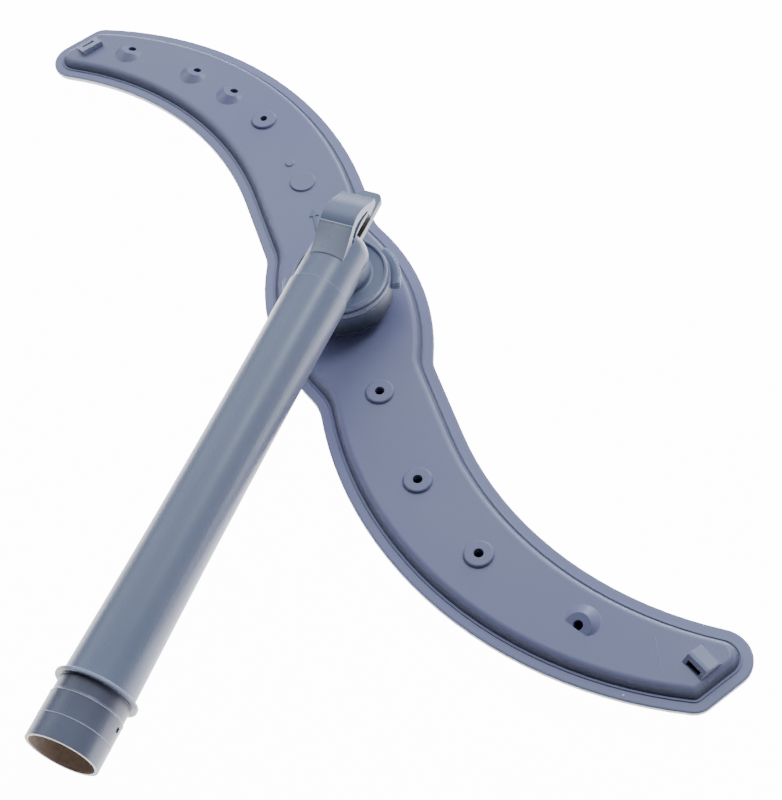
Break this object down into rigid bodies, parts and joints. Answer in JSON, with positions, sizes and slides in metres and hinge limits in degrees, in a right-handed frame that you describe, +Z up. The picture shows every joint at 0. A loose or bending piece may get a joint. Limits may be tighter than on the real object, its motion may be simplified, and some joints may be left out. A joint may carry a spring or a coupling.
{
  "type": "dishwasher spray arm",
  "caption": "S-shaped upper spray arm of a dishwasher, hung by a locking ring under a straight feed pipe with a docking end and a basket clip.",
  "frame": {"origin": "on the axis that the arm spins about, at the flat underside of the arm, which it rests on", "axes": "+Z up, from the arm to the feed pipe; the feed pipe runs from the hub towards -Y; the basket clip is on the +Y side; at rest the blades lie 30.4 degrees clockwise of the X axis"},
  "size_m": [0.4182, 0.3698, 0.0633],
  "materials": {
    "arm_plastic": "satin grey-blue polypropylene with fine moulding marks",
    "pipe_plastic": "satin grey-blue polypropylene with faint lengthwise streaks",
    "ring_plastic": "satin grey-blue polypropylene",
    "washer_plastic": "smooth pale acetal"
  },
  "bodies": {
    "pipe": {"feed_pipe": "pipe_plastic"},
    "ring": {"locking_ring": "ring_plastic"},
    "arm": {"arm_upper_shell": "arm_plastic", "arm_lower_shell": "arm_plastic", "bearing_washer": "washer_plastic"}
  },
  "joints": [
    {"name": "arm_spin", "type": "hinge", "parent": "pipe", "child": "arm", "pos_m": [0, 0, 0.02], "axis": [0, 0, 1], "continuous": true},
    {"name": "ring_turn", "type": "hinge", "parent": "pipe", "child": "ring", "pos_m": [0, 0, 0.026], "axis": [0, 0, 1], "range_deg": [-45, 0]}
  ]
}
